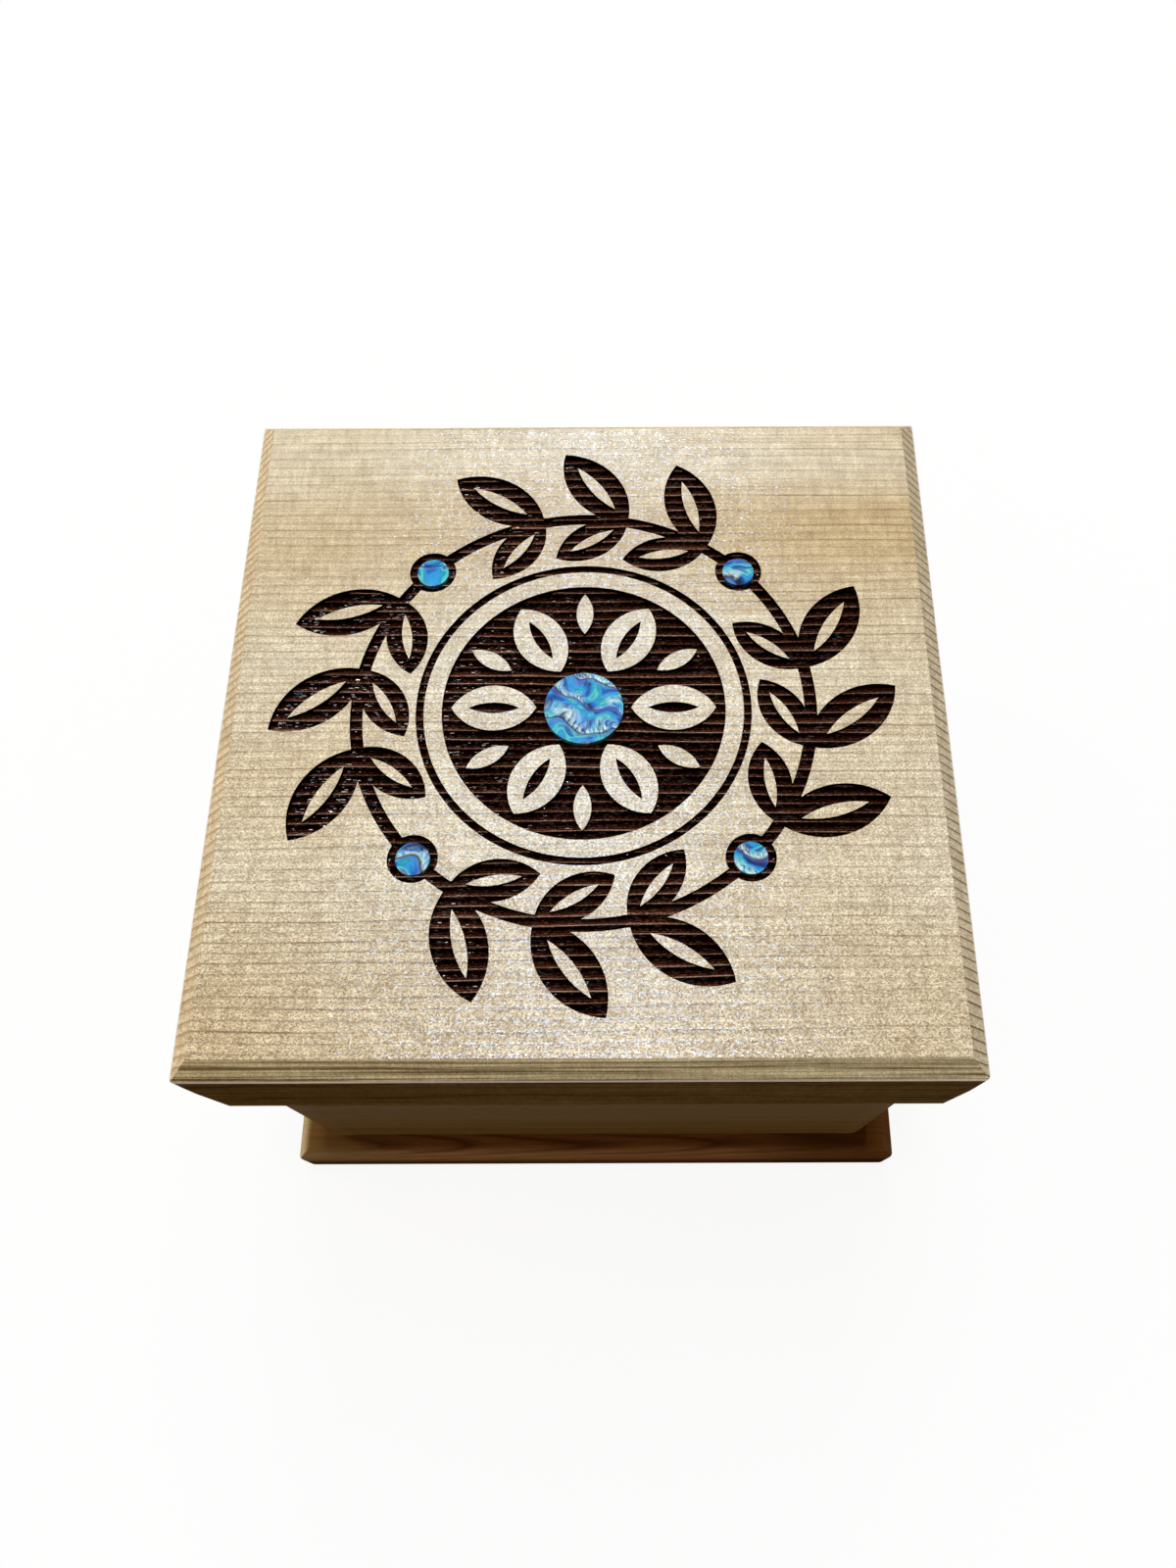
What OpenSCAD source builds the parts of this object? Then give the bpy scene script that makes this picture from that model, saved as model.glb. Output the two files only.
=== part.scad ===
// Bentwood box: a kerf-bent plank on a pegged base, under a thick lift-off lid with shell inlays.
// Millimetres, +Z up, origin at the middle of the base's underside, front towards -Y.

/* [Lid] */
// Width of the lid at its widest edge
lid_w = 130; // [110:1:170]
// Thickness of the lid above the walls
lid_t = 31; // [20:0.5:45]
// Chamfer round the top of the lid
lid_chamfer = 3.2; // [1:0.1:6]
// How far the lid's sides lean in towards the bottom
lid_draft = 0.7; // [0:0.1:2]
// Easing of the lid's upright corners
lid_ease = 1; // [0.4:0.1:2]
// Depth of the plug that drops inside the walls
plug_h = 6; // [3:0.5:12]
// Chamfer round the foot of the plug
plug_chamfer = 1; // [0.5:0.1:2]
// Play between the plug and the walls, on each side
plug_gap = 0.5; // [0.2:0.05:1.5]

/* [Walls] */
// How far the lid stands out past the walls
lid_overhang = 2.3; // [1:0.1:8]
// Height of the wall plank
wall_h = 59; // [30:1:120]
// Thickness of the wall plank
wall_t = 8; // [6:0.5:12]
// Outer radius of the three bent corners
bend_r = 4.5; // [4:0.5:10]
// Width of the kerf left open inside each bend
kerf_w = 0.8; // [0.4:0.1:1.5]
// Wood left outside the kerf at each bend
kerf_web = 3.4; // [2:0.1:4]
// Radius of the round bottom of the kerf
kerf_r = 1.2; // [0.8:0.1:1.5]
// Easing of the outer edge of the lapped corner
lap_ease = 1.2; // [0.5:0.1:2]
// Glue line in the lapped corner
lap_gap = 0.1; // [0.05:0.05:0.3]

/* [Base] */
// How far the base stands out past the walls
base_ledge = 5.5; // [2:0.1:10]
// Thickness of the base board
base_t = 9; // [6:0.5:20]
// Radius of the base board's rounded top edge
base_round = 2.6; // [0.5:0.1:4]
// Easing of the base board's upright corners
base_ease = 2; // [0.4:0.1:4]
// Height of the raised field inside the walls
field_h = 3; // [1:0.5:6]
// Play between the raised field and the walls, on each side
field_gap = 0.3; // [0.1:0.05:0.8]

/* [Pegs] */
// Diameter of every peg
peg_d = 3.5; // [2:0.1:4]
// Glue room round a peg, on each side
peg_gap = 0.05; // [0.02:0.01:0.1]
// Pegs down the lapped corner
corner_pegs = 4; // [2:1:6]
// Length of a corner peg
corner_peg_l = 22; // [14:1:30]
// Pegs through the base along each wall
pegs_per_wall = 2; // [1:1:3]
// How far a base peg reaches up into the wall
base_peg_reach = 16; // [8:1:25]

/* [Engraving] */
// Depth of the engraving below the lid's top
engrave_depth = 1.2; // [0.4:0.1:1.5]
// Bare margin between the engraving and the chamfer
art_margin = 6; // [3:0.5:15]
// Places round the wreath, every fourth one a berry
wreath_places = 16; // [8:4:20]
// Slope of the leaves away from the wreath's stem
leaf_tilt = 42; // [30:1:55]
// Petals of the rosette
petals = 6; // [4:1:8]

/* [Shell] */
// Diameter of the shell in the rosette
rosette_shell_d = 14; // [8:0.5:16]
// Diameter of a shell berry
berry_shell_d = 5.8; // [3:0.1:7]
// Thickness of the shell
shell_t = 1.6; // [1.4:0.1:2.4]
// How far the shell lies below the lid's top
shell_drop = 0.12; // [0:0.02:0.4]
// Glue room round a shell, on each side
shell_gap = 0.08; // [0.04:0.02:0.2]
// Width of the engraved ring round a shell
shell_ring = 1.4; // [0.8:0.1:2.5]

/* [Hidden] */
$fn = 96;
// Overshoot of a cut past the face it opens
cut = 1;

wall_w = lid_w - 2 * lid_draft - 2 * lid_overhang;
inner_w = wall_w - 2 * wall_t;
base_w = wall_w + 2 * base_ledge;
wall_z = base_t;
lid_z = wall_z + wall_h;
lid_top_z = lid_z + lid_t;

// Pegs run in the middle of the plank's thickness
peg_line = wall_w / 2 - wall_t / 2;
lap_t = wall_t / 2;
lap_y = wall_w / 2 - lap_t;
berry_step = 4;
berries = wreath_places / berry_step;
base_pegs = 4 * pegs_per_wall;

// The wreath fills the field inside its margin, in these shares of the field's radius
art_r = lid_w / 2 - lid_chamfer - art_margin;
stem_r = art_r * 0.72;
stem_w = art_r * 0.04;
outer_leaf = [art_r * 0.36, art_r * 0.17];
inner_leaf = [art_r * 0.28, art_r * 0.135];
ring_r = art_r * 0.52;
ring_w = art_r * 0.025;
rosette_r = art_r * 0.45;
rosette_rim = art_r * 0.03;
petal_w = art_r * 0.16;
drop_start = art_r * 0.27;
drop_w = art_r * 0.055;
// A vein runs down each leaf and petal, in these shares of its length and width
vein_start = 0.2;
vein_length = 0.6;
vein_width = 0.24;

// Board of one side view from the front and from the side, its upright corners eased
module board(width, thickness, ease) {
    inset = width / 2 - ease;
    intersection() {
        rotate([90, 0, 0]) linear_extrude(width, center = true) children();
        rotate([90, 0, 90]) linear_extrude(width, center = true) children();
        linear_extrude(thickness) {
            square([width, 2 * inset], center = true);
            square([2 * inset, width], center = true);
            for (x = [-inset, inset], y = [-inset, inset])
                translate([x, y]) circle(ease);
        }
    }
}

// Side view standing on y = 0 with its top edges chamfered and its foot drawn in by the draft
module chamfered_view(width, thickness, chamfer, draft = 0) {
    half = width / 2;
    polygon([
        [-half + draft, 0], [half - draft, 0],
        [half, thickness - chamfer], [half - chamfer, thickness],
        [-half + chamfer, thickness], [-half, thickness - chamfer]
    ]);
}

// Side view standing on y = 0 with its top edges rounded over
module rounded_view(width, thickness, radius) {
    inset = width / 2 - radius;
    translate([-width / 2, 0]) square([width, thickness - radius]);
    translate([-inset, 0]) square([2 * inset, thickness]);
    for (x = [-inset, inset])
        translate([x, thickness - radius]) circle(radius);
}

// Straight round peg, or its hole when room is added round it
module peg(length, room = 0) {
    cylinder(h = length, d = peg_d + 2 * room);
}

// Base peg number i, counted along one wall after another
module at_base_peg(i) {
    side = floor((i - 1) / pegs_per_wall);
    place = (i - 1) % pegs_per_wall;
    spacing = inner_w / pegs_per_wall;
    rotate(90 * side) translate([(place + 0.5) * spacing - inner_w / 2, -peg_line, 0]) children();
}

// Corner peg number i, counted upwards, its head in the back of the lap
module at_corner_peg(i) {
    spacing = wall_h / corner_pegs;
    translate([peg_line, wall_w / 2, wall_z + (i - 0.5) * spacing]) rotate([90, 0, 0]) children();
}

module base_board() {
    color("SaddleBrown") difference() {
        union() {
            board(base_w, base_t, base_ease) rounded_view(base_w, base_t, base_round);
            field_w = inner_w - 2 * field_gap;
            translate([-field_w / 2, -field_w / 2, 0]) cube([field_w, field_w, base_t + field_h]);
        }
        for (i = [1:base_pegs])
            at_base_peg(i) translate([0, 0, -cut]) peg(base_t + 2 * cut, peg_gap);
    }
}

module base_peg(i) {
    color("Tan") at_base_peg(i) peg(base_t + base_peg_reach);
}

// Plan of the plank's outside: three bent corners, and the lapped one only eased
module plank_outline() {
    inset = wall_w / 2 - bend_r;
    eased = bend_r - lap_ease;
    square([wall_w, 2 * inset], center = true);
    square([2 * inset, wall_w], center = true);
    for (side = [[-1, -1], [1, -1], [-1, 1]])
        translate(inset * side) circle(bend_r);
    translate([inset, inset]) {
        square([bend_r, eased]);
        square([eased, bend_r]);
        translate([eased, eased]) circle(lap_ease);
    }
}

// Plan of the kerf in the bend at the +X +Y corner, from the inside face out to its web
module kerf() {
    corner_depth = sqrt(2) * (wall_t - bend_r) + bend_r;
    depth = corner_depth - kerf_web - kerf_r;
    translate([inner_w / 2, inner_w / 2]) rotate(45) {
        translate([-cut, -kerf_w / 2]) square([depth + cut, kerf_w]);
        translate([depth, 0]) circle(kerf_r);
    }
}

// Plan of the glue line where one end of the plank laps the other
module lap_line() {
    shoulder = inner_w / 2;
    translate([shoulder - lap_gap, shoulder - cut]) square([lap_gap, lap_y - shoulder + cut]);
    translate([shoulder - lap_gap, lap_y - lap_gap]) square([wall_t + lap_gap + cut, lap_gap]);
}

module side_plank() {
    color("Peru") difference() {
        translate([0, 0, wall_z]) linear_extrude(wall_h) difference() {
            plank_outline();
            square(inner_w, center = true);
            for (turn = [90, 180, 270])
                rotate(turn) kerf();
            lap_line();
        }
        for (i = [1:base_pegs])
            at_base_peg(i) translate([0, 0, wall_z - cut]) peg(base_peg_reach + cut, peg_gap);
        for (i = [1:corner_pegs])
            at_corner_peg(i) translate([0, 0, -cut]) peg(corner_peg_l + cut, peg_gap);
    }
}

module corner_peg(i) {
    color("Tan") at_corner_peg(i) peg(corner_peg_l);
}

// Pointed oval from the origin along +X, where two equal arcs cross
module pointed_oval(size) {
    arc_r = (size[0] ^ 2 + size[1] ^ 2) / (4 * size[1]);
    intersection_for(side = [-1, 1])
        translate([size[0] / 2, side * (arc_r - size[1] / 2)]) circle(arc_r);
}

// Leaf or petal, open along the vein down its middle
module leaf(size) {
    difference() {
        pointed_oval(size);
        translate([vein_start * size[0], 0]) pointed_oval([vein_length * size[0], vein_width * size[1]]);
    }
}

module ring(radius, width) {
    difference() {
        circle(radius + width / 2);
        circle(radius - width / 2);
    }
}

// Berry number i on the wreath's stem
module at_berry(i) {
    rotate(45 + 360 / berries * i) translate([stem_r, 0]) children();
}

// Cut field with petals standing round the shell, and a drop between each two
module rosette() {
    petal_start = rosette_shell_d / 2 + shell_ring;
    rim_r = rosette_r - rosette_rim;
    difference() {
        circle(rosette_r);
        for (i = [0:petals - 1])
            rotate(360 / petals * i) {
                translate([petal_start, 0]) leaf([rim_r - petal_start, petal_w]);
                rotate(180 / petals) translate([drop_start, 0])
                    pointed_oval([rim_r - drop_start, drop_w]);
            }
    }
}

// Wreath of leaf pairs and berries round the rosette, cut down to the engraving's floor
module engraving() {
    place_angle = 360 / wreath_places;
    for (i = [0:wreath_places - 1])
        if (i % berry_step != 0)
            rotate(45 + place_angle * (i - 0.5)) translate([stem_r, 0]) {
                rotate(90 - leaf_tilt) leaf(outer_leaf);
                rotate(90 + leaf_tilt) leaf(inner_leaf);
            }
    ring(stem_r, stem_w);
    for (i = [1:berries])
        at_berry(i) circle(berry_shell_d / 2 + shell_ring);
    ring(ring_r, ring_w);
    rosette();
}

// Shell disc lying in its pocket, or the pocket itself when room is added round it
module shell_disc(diameter, room = 0) {
    top = lid_top_z - shell_drop;
    height = room > 0 ? shell_t + shell_drop + cut : shell_t;
    translate([0, 0, top - shell_t]) cylinder(h = height, d = diameter + 2 * room);
}

module lid() {
    color("Wheat") difference() {
        union() {
            translate([0, 0, lid_z]) board(lid_w, lid_t, lid_ease)
                chamfered_view(lid_w, lid_t, lid_chamfer, lid_draft);
            plug_w = inner_w - 2 * plug_gap;
            translate([0, 0, lid_z]) mirror([0, 0, 1])
                board(plug_w, plug_h, lid_ease) chamfered_view(plug_w, plug_h, plug_chamfer);
        }
        translate([0, 0, lid_top_z - engrave_depth]) linear_extrude(engrave_depth + cut) engraving();
        shell_disc(rosette_shell_d, shell_gap);
        for (i = [1:berries])
            at_berry(i) shell_disc(berry_shell_d, shell_gap);
    }
}

module shell_rosette() {
    color("SteelBlue") shell_disc(rosette_shell_d);
}

module shell_berry(i) {
    color("SteelBlue") at_berry(i) shell_disc(berry_shell_d);
}

base_board();
for (i = [1:base_pegs])
    base_peg(i);
side_plank();
for (i = [1:corner_pegs])
    corner_peg(i);
lid();
shell_rosette();
for (i = [1:berries])
    shell_berry(i);
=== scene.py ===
import bpy
import numpy as np
from mathutils import Matrix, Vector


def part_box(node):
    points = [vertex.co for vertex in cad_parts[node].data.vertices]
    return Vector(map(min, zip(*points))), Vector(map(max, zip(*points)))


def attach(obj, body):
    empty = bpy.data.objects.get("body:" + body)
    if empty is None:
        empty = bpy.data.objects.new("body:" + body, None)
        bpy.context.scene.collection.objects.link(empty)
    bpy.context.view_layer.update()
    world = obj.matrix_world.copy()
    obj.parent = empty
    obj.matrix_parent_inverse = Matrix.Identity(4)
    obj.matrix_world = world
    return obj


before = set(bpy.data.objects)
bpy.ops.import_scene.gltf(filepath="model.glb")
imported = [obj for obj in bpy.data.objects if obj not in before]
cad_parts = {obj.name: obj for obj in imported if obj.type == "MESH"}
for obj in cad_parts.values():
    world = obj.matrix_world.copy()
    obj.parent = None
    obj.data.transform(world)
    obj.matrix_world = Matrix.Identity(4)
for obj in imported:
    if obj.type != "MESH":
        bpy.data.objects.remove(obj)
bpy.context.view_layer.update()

# Base board
# One flat-sawn board of red cedar, wider than the walls all round, with its top edge rounded over
# and a raised field that the walls stand round. Clear oil leaves it deep red-brown.
BASE_LIGHT = "#b98552"
BASE_DARK = "#6b3a1c"
BASE_FIBRE = "#a06e40"
# Olive sapwood darkened with painted shade for the left end, and painted shade for the right end
BASE_SAP_SHADE = "#8a6a3c"
BASE_RIGHT_SHADE = "#6c4720"
# Pale colour of the painted sheen along the rounded top edge
BASE_EDGE_SHEEN = "#f0dcac"
BASE_TOP = 9.0
BASE_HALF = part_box("base_board")[1][0] * 1000
BASE_RING = 1.1
# Crown of the rings in mm: its line along the front edge, height and half width, and its fall along x
CROWN_Y = -64.4
CROWN_RISE = 3.4
CROWN_WIDTH = 3.0
CROWN_SLOPE = 0.042
# Wander of the rings and lie of the fibres: height, and sizes along x, y and z, in mm
SWAY_RISE = 1.8
SWAY_SIZE = (45.45, 11.11, 11.11)
BASE_FIBRE_SIZE = (8.333, 0.3846, 0.3846)
# Share of dark latewood through one ring
FLAME = [(0.0, 0.5), (0.12, 0.2), (0.5, 0.05), (0.84, 0.65), (0.94, 0.85), (1.0, 0.5)]
# Distances from an end at which the left end's sapwood and painted shade and the right end's painted shade
# begin and are full, in mm
SAP_SHADE_REACH = (30.0, 8.0)
RIGHT_SHADE_REACH = (40.0, 16.0)
# Distances in from the sides and down from the top at which the painted sheen on the rounded edge begins and
# is full, in mm
SHEEN_IN = (2.8, 0.8)
SHEEN_DOWN = (6.0, 2.4)


def linear(colour):
    """sRGB hex to linear RGBA: a channel c is c / 12.92 up to 0.04045, else ((c + 0.055) / 1.055) ^ 2.4."""
    c = np.array([int(colour[i:i + 2], 16) for i in (1, 3, 5)]) / 255
    return (*np.where(c <= 0.04045, c / 12.92, ((c + 0.055) / 1.055) ** 2.4).tolist(), 1.0)


def add(tree, kind, inputs=None, out=0, stops=None, **settings):
    """Add a shader node with its settings, link or set its inputs, and give back its output socket."""
    node = tree.nodes.new("ShaderNode" + kind)
    for name, value in settings.items():
        setattr(node, name, value)
    if stops:
        elements = node.color_ramp.elements
        while len(elements) < len(stops):
            elements.new(0.5)
        for element, (place, colour) in zip(elements, stops):
            element.position = place
            element.color = linear(colour) if isinstance(colour, str) else (colour, colour, colour, 1.0)
    for name, value in (inputs or {}).items():
        if isinstance(value, bpy.types.NodeSocket):
            tree.links.new(value, node.inputs[name])
        else:
            node.inputs[name].default_value = value
    return node.outputs[out] if node.outputs else node


def new_finish(name):
    """New node material: gives the material, its tree and the place on the piece in millimetres."""
    material = bpy.data.materials.new(name)
    material.use_nodes = True
    tree = material.node_tree
    tree.nodes.clear()
    place = add(tree, "TexCoord", out="Object")
    return material, tree, add(tree, "VectorMath", {0: place, "Scale": 1000.0}, operation="SCALE")


def put_finish(material, *names):
    """Give every named CAD node this material."""
    for name in names:
        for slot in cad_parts[name].material_slots:
            slot.material = material


# Flat-sawn red cedar, oiled: wide soft flames of dark latewood over a lighter ground. A ring lies
# where height - slope * x - rise * sqrt(1 + ((y - crown) / width)^2) is a whole number of rings, so
# the flames point along +X down the front ledge and run straight further back.
base_finish, tree, mm = new_finish("oiled_red_cedar")
x, y, z = (add(tree, "SeparateXYZ", {0: mm}, out=axis) for axis in range(3))
sway = add(tree, "VectorMath", {0: mm, 1: SWAY_SIZE}, operation="DIVIDE")
sway = add(tree, "TexNoise", {"Vector": sway, "Scale": 1.0, "Detail": 2.0})
across = add(tree, "Math", {0: y, 1: CROWN_Y}, operation="SUBTRACT")
across = add(tree, "Math", {0: across, 1: CROWN_WIDTH}, operation="DIVIDE")
bow = add(tree, "Math", {0: across, 1: across, 2: 1.0}, operation="MULTIPLY_ADD")
bow = add(tree, "Math", {0: bow}, operation="SQRT")
rise = z
for part, slope in ((bow, -CROWN_RISE), (x, -CROWN_SLOPE), (sway, SWAY_RISE)):
    rise = add(tree, "Math", {0: part, 1: slope, 2: rise}, operation="MULTIPLY_ADD")
ring = add(tree, "Math", {0: rise, 1: BASE_RING}, operation="DIVIDE")
ring = add(tree, "Math", {0: ring}, operation="FRACT")
flame = add(tree, "ValToRGB", {0: ring}, stops=FLAME)
fibre = add(tree, "VectorMath", {0: mm, 1: BASE_FIBRE_SIZE}, operation="DIVIDE")
fibre = add(tree, "TexNoise", {"Vector": fibre, "Scale": 1.0, "Detail": 4.0})
ground = add(tree, "ValToRGB", {0: fibre}, stops=[(0.3, BASE_FIBRE), (0.7, BASE_LIGHT)])
wood = add(tree, "Mix", {0: flame, 6: ground, 7: linear(BASE_DARK)}, out=2, data_type="RGBA")
# The left end is duller, more olive sapwood, darkened further as painted shade, and the right end is darker
# and duller as painted shade
sap_and_shade = add(tree, "MapRange", {0: x, 1: SAP_SHADE_REACH[0] - BASE_HALF, 2: SAP_SHADE_REACH[1] - BASE_HALF,
                             3: 0.0, 4: 0.75}, interpolation_type="SMOOTHSTEP")
right_shade = add(tree, "MapRange", {0: x, 1: BASE_HALF - RIGHT_SHADE_REACH[0], 2: BASE_HALF - RIGHT_SHADE_REACH[1],
                               3: 0.0, 4: 0.85}, interpolation_type="SMOOTHSTEP")
for share, tone in ((sap_and_shade, BASE_SAP_SHADE), (right_shade, BASE_RIGHT_SHADE)):
    wood = add(tree, "Mix", {0: share, 6: wood, 7: linear(tone)}, out=2, data_type="RGBA")
# Painted sheen: paler along the rounded top edge, most of all at the left end
reach_x = add(tree, "Math", {0: x}, operation="ABSOLUTE")
reach_y = add(tree, "Math", {0: y}, operation="ABSOLUTE")
reach = add(tree, "Math", {0: reach_x, 1: reach_y}, operation="MAXIMUM")
at_end = add(tree, "Math", {0: reach_x, 1: reach_y}, operation="GREATER_THAN")
edge_sheen = add(tree, "MapRange", {0: reach, 1: BASE_HALF - SHEEN_IN[0], 2: BASE_HALF - SHEEN_IN[1], 3: 0.0, 4: 0.9},
           interpolation_type="SMOOTHSTEP")
upper = add(tree, "MapRange", {0: z, 1: BASE_TOP - SHEEN_DOWN[0], 2: BASE_TOP - SHEEN_DOWN[1]},
            interpolation_type="SMOOTHSTEP")
streaky = add(tree, "MapRange", {0: fibre, 1: 0.3, 2: 0.7, 3: 0.7, 4: 1.0})
by_end = add(tree, "MapRange", {0: at_end, 3: 0.25, 4: 1.0})
leftward = add(tree, "MapRange", {0: x, 1: -BASE_HALF, 2: BASE_HALF, 3: 1.0, 4: 0.0})
for share in (upper, streaky, by_end, leftward):
    edge_sheen = add(tree, "Math", {0: edge_sheen, 1: share}, operation="MULTIPLY")
wood = add(tree, "Mix", {0: edge_sheen, 6: wood, 7: linear(BASE_EDGE_SHEEN)}, out=2, data_type="RGBA")
pores = add(tree, "Bump", {"Height": fibre, "Strength": 0.25, "Distance": 0.0002})
shader = add(tree, "BsdfPrincipled", {"Base Color": wood, "Roughness": 0.6, "Specular IOR Level": 0.0,
                                      "Normal": pores})
add(tree, "OutputMaterial", {"Surface": shader})
put_finish(base_finish, "base_board")

# Wall plank
# One long cedar plank, kerfed on the inside, steamed and bent at three corners and lapped at the
# fourth. Its grain runs level round the box; it is sanded smooth and has a satin clear finish.
WALL_LIGHT = "#ccb073"
WALL_DARK = "#ac8e52"
# Pale colour of the bends and of the painted highlight line at their foot
WALL_BEND_HIGHLIGHT = "#f0d8a6"
WALL_END = "#8f6a3c"
WALL_T = 8.0
LAP_T = 4.0
WALL_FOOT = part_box("side_plank")[0][2] * 1000
WALL_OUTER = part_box("side_plank")[1][0] * 1000
WALL_INNER = WALL_OUTER - WALL_T
# Broad bands, fine lines and fibres: sizes along x, y and z in mm
WALL_BAND_SIZE = (166.7, 166.7, 6.25)
WALL_LINE_SIZE = (83.33, 83.33, 0.6667)
WALL_FIBRE_SIZE = (2.0, 2.0, 0.2)
# Width over which a bend turns pale, and heights above the foot where its painted highlight line ends, in mm
BEND_FADE = 2.0
FOOT_HIGHLIGHT = (0.6, 1.4)
# Depth in mm to which the plank's cut end is drawn, and how far it is darkened
WALL_END_DEPTH = 0.5
WALL_END_SHARE = 0.6

# Steam-bent cedar: fine level grain lines that carry on round the bends, from noise that is long
# round the box and short in height. Each bend is a little paler, with a painted highlight line at its foot.
wall_finish, tree, mm = new_finish("satin_bent_cedar")
x, y, z = (add(tree, "SeparateXYZ", {0: mm}, out=axis) for axis in range(3))
broad = add(tree, "VectorMath", {0: mm, 1: WALL_BAND_SIZE}, operation="DIVIDE")
broad = add(tree, "TexNoise", {"Vector": broad, "Scale": 1.0, "Detail": 3.0})
lines = add(tree, "VectorMath", {0: mm, 1: WALL_LINE_SIZE}, operation="DIVIDE")
lines = add(tree, "TexNoise", {"Vector": lines, "Scale": 1.0, "Detail": 3.0, "Roughness": 0.6})
grain = add(tree, "Mix", {0: 0.55, 2: broad, 3: lines}, data_type="FLOAT")
wood = add(tree, "ValToRGB", {0: grain}, stops=[(0.36, WALL_DARK), (0.62, WALL_LIGHT)])
fibre = add(tree, "VectorMath", {0: mm, 1: WALL_FIBRE_SIZE}, operation="DIVIDE")
fibre = add(tree, "TexNoise", {"Vector": fibre, "Scale": 1.0, "Detail": 2.0})
tone = add(tree, "ValToRGB", {0: fibre}, stops=[(0.3, 0.25), (0.7, 0.75)])
wood = add(tree, "Mix", {0: 0.16, 6: wood, 7: tone}, out=2, data_type="RGBA", blend_type="OVERLAY")
# Each bend is a little paler, with a painted highlight line at its foot, but not in the lapped corner, where
# x and y are large
reach_x = add(tree, "Math", {0: x}, operation="ABSOLUTE")
reach_y = add(tree, "Math", {0: y}, operation="ABSOLUTE")
bend_highlight = add(tree, "Math", {0: reach_x, 1: reach_y}, operation="MINIMUM")
bend_highlight = add(tree, "MapRange", {0: bend_highlight, 1: WALL_INNER, 2: WALL_INNER + BEND_FADE})
bent = add(tree, "Math", {0: x, 1: y}, operation="ADD")
bent = add(tree, "Math", {0: bent, 1: WALL_INNER}, operation="LESS_THAN")
foot_highlight = add(tree, "MapRange", {0: z, 1: WALL_FOOT + FOOT_HIGHLIGHT[0], 2: WALL_FOOT + FOOT_HIGHLIGHT[1],
                              3: 1.0, 4: 0.12})
for share in (bent, foot_highlight):
    bend_highlight = add(tree, "Math", {0: bend_highlight, 1: share}, operation="MULTIPLY")
wood = add(tree, "Mix", {0: bend_highlight, 6: wood, 7: linear(WALL_BEND_HIGHLIGHT)}, out=2, data_type="RGBA")
# The end of the plank shows in the lapped corner as a darker strip on the outside
lap = add(tree, "Math", {0: y, 1: WALL_OUTER - LAP_T}, operation="GREATER_THAN")
outside = add(tree, "Math", {0: x, 1: WALL_OUTER - WALL_END_DEPTH}, operation="GREATER_THAN")
for share in (outside, WALL_END_SHARE):
    lap = add(tree, "Math", {0: lap, 1: share}, operation="MULTIPLY")
wood = add(tree, "Mix", {0: lap, 6: wood, 7: linear(WALL_END)}, out=2, data_type="RGBA")
pores = add(tree, "Bump", {"Height": fibre, "Strength": 0.15, "Distance": 0.0001})
shader = add(tree, "BsdfPrincipled", {"Base Color": wood, "Roughness": 0.6, "Specular IOR Level": 0.0,
                                      "Coat Weight": 0.06, "Coat Roughness": 0.3, "Normal": pores})
add(tree, "OutputMaterial", {"Surface": shader})
put_finish(wall_finish, "side_plank")

# Pegs
# Round whittled pegs: eight driven up through the base into the plank, four through the lapped
# corner. Each is glued, trimmed flush and sanded, so only end grain shows.
PEG_LIGHT = "#b98f5c"
PEG_DARK = "#7a5530"
PEG_SPECK = 0.4545

# Sanded end grain of hardwood: fine dark specks in a mid brown
peg_finish, tree, mm = new_finish("sanded_peg_wood")
specks = add(tree, "TexNoise", {"Vector": mm, "Scale": 1 / PEG_SPECK, "Detail": 4.0})
wood = add(tree, "ValToRGB", {0: specks}, stops=[(0.35, PEG_DARK), (0.65, PEG_LIGHT)])
shader = add(tree, "BsdfPrincipled", {"Base Color": wood, "Roughness": 0.55, "IOR": 1.45})
add(tree, "OutputMaterial", {"Surface": shader})
put_finish(peg_finish, *(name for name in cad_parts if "peg" in name))

# Lid
# One thick vertical-grain board of yellow cedar, chamfered round the top, rabbeted below to leave a
# plug, laser-engraved on top and finished with a thin satin lacquer that sparkles on the fibres.
LID_CREAM = "#e1d8bc"
LID_TAN = "#d9cba8"
LID_BAND = "#cdb88c"
LID_LINE = "#7c5629"
LID_END = "#e4d2ae"
# Greyer end grain for the right end, as painted shade
LID_END_SHADE = "#ded4b4"
# Colour of the painted highlight line along the chamfer's lower edge
LID_ARRIS_HIGHLIGHT = "#f6f3ee"
# Tint of the painted shade on the lid's sawn sides
LID_SIDE_SHADE = "#dfd2b4"
LID_SAWN = "#f0eedf"
LID_CHAR = "#0c0503"
# Gain of red, green and blue where the grain is darkest and palest
GRAIN_DARK = (0.45, 0.37, 0.3, 1)
GRAIN_PALE = (1.5, 1.6, 1.72, 1)
LID_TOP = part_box("lid")[1][2] * 1000
LID_CHAMFER = 3.2
LID_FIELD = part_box("lid")[1][0] * 1000 - LID_CHAMFER
# Soft borders in mm: depths where the top face ends, reaches round an end's upper edge, height of a side's
TOP_BORDER = (0.12, 0.03)
END_BORDER = (0.05, 0.1)
SIDE_BORDER = 0.1
# Width in mm inside the chamfers that the engraving leaves clear
ART_MARGIN = 0.8
# The painted highlight line along the chamfer's lower edge: its middle above that edge and its half width,
# in mm
HIGHLIGHT_UP = 0.1
HIGHLIGHT_HALF = 0.14
# Ring planes: spacing in mm, lean from upright, and height in mm of the fine ripple in them
LID_RING = 1.8
LID_LEAN = -0.1
RIPPLE_RISE = 0.3
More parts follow.
